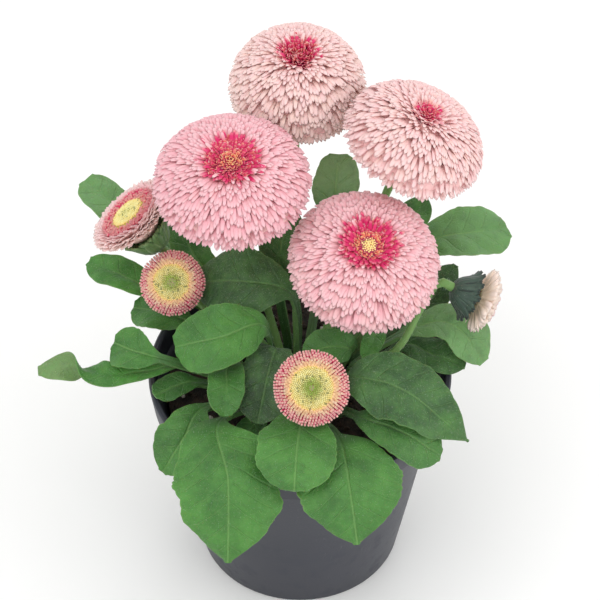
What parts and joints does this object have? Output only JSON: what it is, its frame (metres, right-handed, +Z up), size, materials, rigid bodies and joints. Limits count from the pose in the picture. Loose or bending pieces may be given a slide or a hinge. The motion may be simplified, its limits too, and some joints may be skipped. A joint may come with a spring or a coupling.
{
  "type": "potted english daisy",
  "caption": "English daisy with domed double pink flower heads, small button heads and spoon-shaped leaves, growing in soil in a round tapered plastic pot.",
  "frame": {"origin": "centre of the pot's underside, where the plant stands", "axes": "+Z up; -Y towards the plant's front, the side that the picture shows; +X to its right"},
  "size_m": [0.1731, 0.1749, 0.181],
  "materials": {
    "pot": "dark grey moulded plastic with a faint sheen",
    "soil": "damp, crumbly potting soil",
    "leaf": "slightly glossy, finely hairy green",
    "stem": "matt green with fine hairs",
    "petal_pink": "matt pale pink",
    "petal_crimson": "matt crimson",
    "petal_cream": "matt cream pink",
    "disc_yellow": "matt yellow florets"
  },
  "bodies": {
    "root": {"pot": "pot", "soil": "soil", "front_left_leaf": "leaf", "left_front_leaf": "leaf", "front_leaf": "leaf", "front_right_leaf": "leaf", "right_front_leaf": "leaf", "right_low_leaf": "leaf", "right_bent_leaf": "leaf", "right_under_leaf": "leaf", "right_back_leaf": "leaf", "right_back_small_leaf": "leaf", "right_dark_leaf": "leaf", "left_dark_leaf": "leaf", "left_bright_leaf": "leaf", "left_back_leaf": "leaf", "left_outer_leaf": "leaf", "left_under_button_leaf": "leaf", "left_twisted_leaf": "leaf", "left_side_leaf": "leaf", "left_low_leaf": "leaf", "centre_folded_leaf": "leaf", "centre_low_leaf": "leaf", "centre_dark_leaf": "leaf", "back_tall_leaf": "leaf", "back_left_leaf": "leaf", "back_centre_leaf": "leaf", "right_centre_leaf": "leaf", "right_narrow_leaf": "leaf", "left_bloom_petals": "petal_pink", "left_bloom_heart": "petal_crimson", "left_bloom_stem": "stem", "back_bloom_petals": "petal_pink", "back_bloom_heart": "petal_crimson", "back_bloom_stem": "stem", "front_bloom_petals": "petal_pink", "front_bloom_heart": "petal_crimson", "front_bloom_stem": "stem", "right_bloom_petals": "petal_pink", "right_bloom_heart": "petal_crimson", "right_bloom_stem": "stem", "left_half_open_petals": "petal_pink", "left_half_open_heart": "disc_yellow", "left_half_open_stem": "stem", "left_button_petals": "petal_crimson", "left_button_heart": "disc_yellow", "left_button_stem": "stem", "front_button_petals": "petal_crimson", "front_button_heart": "disc_yellow", "front_button_stem": "stem", "side_bloom_petals": "petal_cream", "side_bloom_heart": "disc_yellow", "side_bloom_stem": "stem"}
  },
  "joints": []
}
